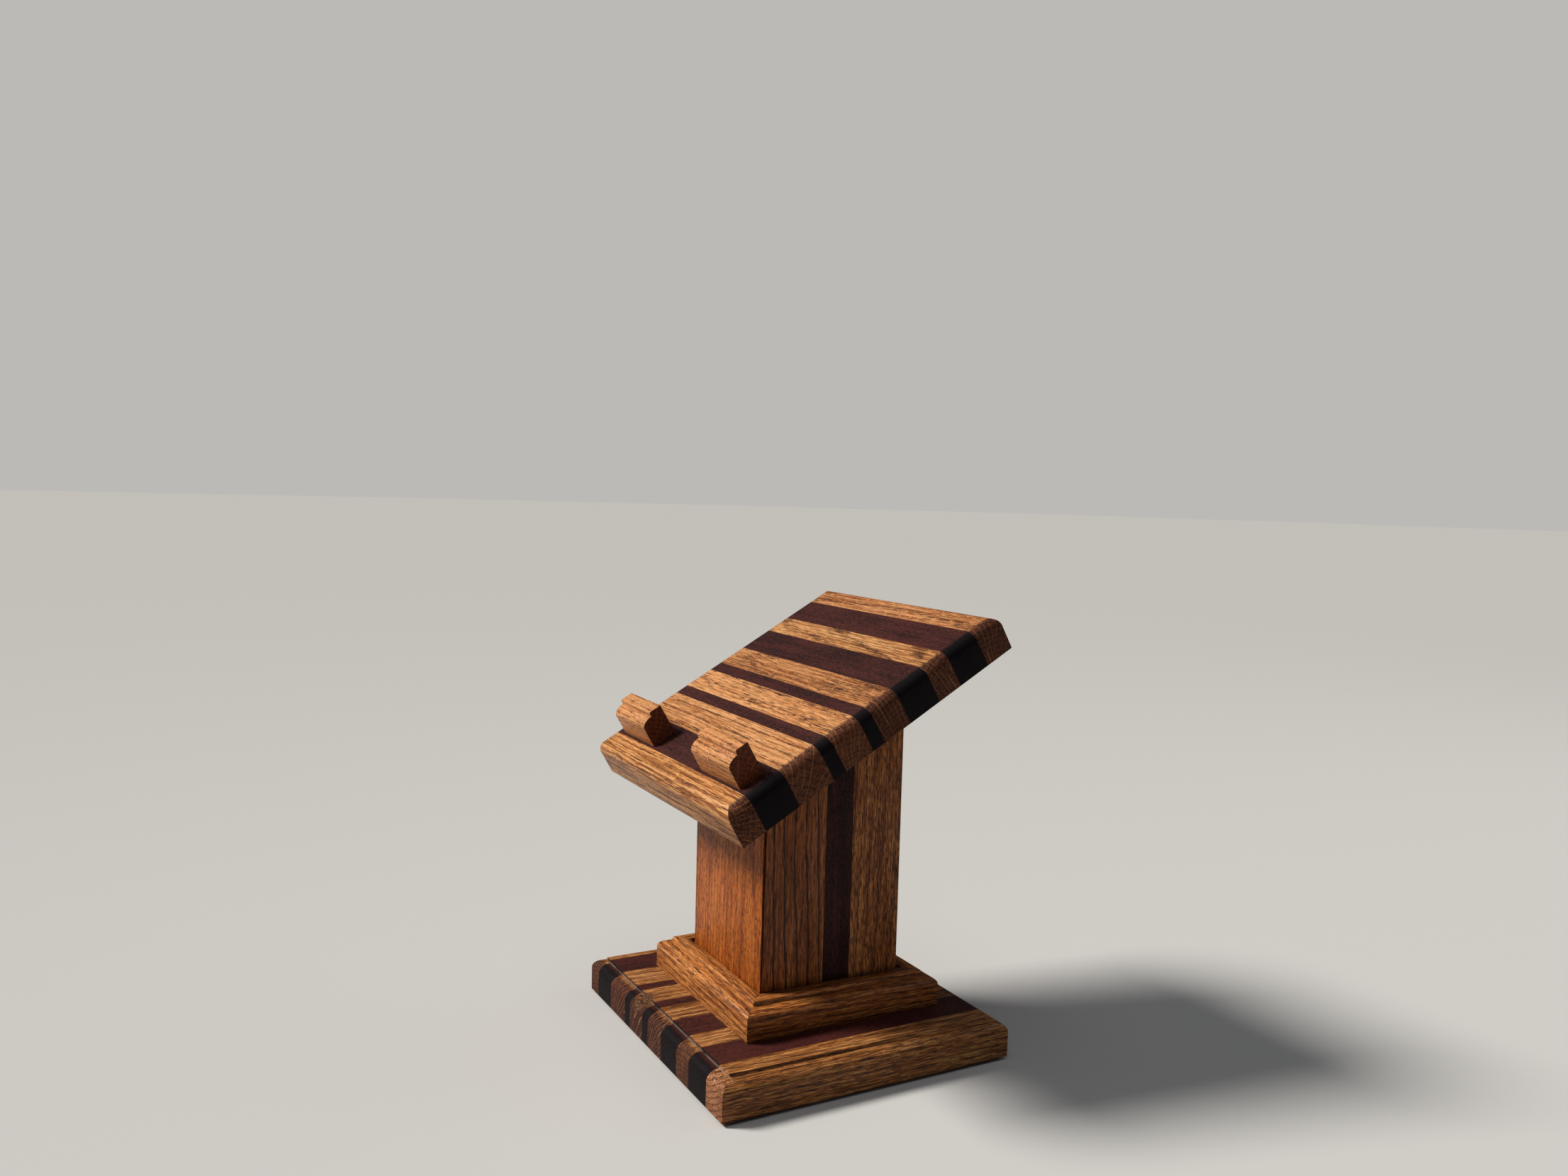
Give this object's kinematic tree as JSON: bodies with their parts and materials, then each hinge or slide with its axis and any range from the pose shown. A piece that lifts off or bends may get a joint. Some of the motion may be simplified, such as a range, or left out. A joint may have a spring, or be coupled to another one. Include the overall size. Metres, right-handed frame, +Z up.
{
  "type": "photo album stand",
  "caption": "Desktop stand with a sloping laminated board and stop blocks that hold an open photo album, on a boxed column and a routed base.",
  "frame": {"origin": "centre of the stand's footprint, on the surface it stands on", "axes": "+X to the right of a person facing the album, +Y away from them, towards the board's high edge, +Z up"},
  "size_m": [0.211, 0.2, 0.2798],
  "materials": {
    "oak": "satin varnish over open straight grain",
    "dark_wood": "satin varnish over fine dark grain",
    "pale_wood": "bare sanded",
    "steel": "zinc plated",
    "felt": "pressed felt"
  },
  "bodies": {
    "root": {"base_strip_01": "oak", "base_strip_02": "dark_wood", "base_strip_03": "oak", "base_strip_04": "dark_wood", "base_strip_05": "oak", "base_strip_06": "dark_wood", "base_strip_07": "oak", "base_strip_08": "dark_wood", "base_strip_09": "oak", "base_strip_10": "dark_wood", "base_strip_11": "oak", "board_strip_01": "oak", "board_strip_02": "dark_wood", "board_strip_03": "oak", "board_strip_04": "dark_wood", "board_strip_05": "oak", "board_strip_06": "dark_wood", "board_strip_07": "oak", "board_strip_08": "dark_wood", "board_strip_09": "oak", "board_strip_10": "dark_wood", "board_strip_11": "oak", "moulding_front": "oak", "moulding_right": "oak", "moulding_back": "oak", "moulding_left": "oak", "column_front_board": "oak", "column_back_board": "oak", "column_left_strip_front": "oak", "column_left_strip_middle": "dark_wood", "column_left_strip_back": "oak", "column_right_strip_front": "oak", "column_right_strip_middle": "dark_wood", "column_right_strip_back": "oak", "album_block_left": "oak", "album_block_right": "oak", "column_plug_lower": "pale_wood", "column_plug_upper": "pale_wood", "board_dowel_1": "pale_wood", "board_dowel_2": "pale_wood", "board_dowel_3": "pale_wood", "board_dowel_4": "pale_wood", "album_block_dowel_1": "pale_wood", "album_block_dowel_2": "pale_wood", "album_block_dowel_3": "pale_wood", "album_block_dowel_4": "pale_wood", "base_screw_1": "steel", "base_screw_2": "steel", "base_screw_3": "steel", "base_screw_4": "steel", "felt_pad_front_left": "felt", "felt_pad_front_right": "felt", "felt_pad_back_left": "felt", "felt_pad_back_right": "felt"}
  },
  "joints": []
}
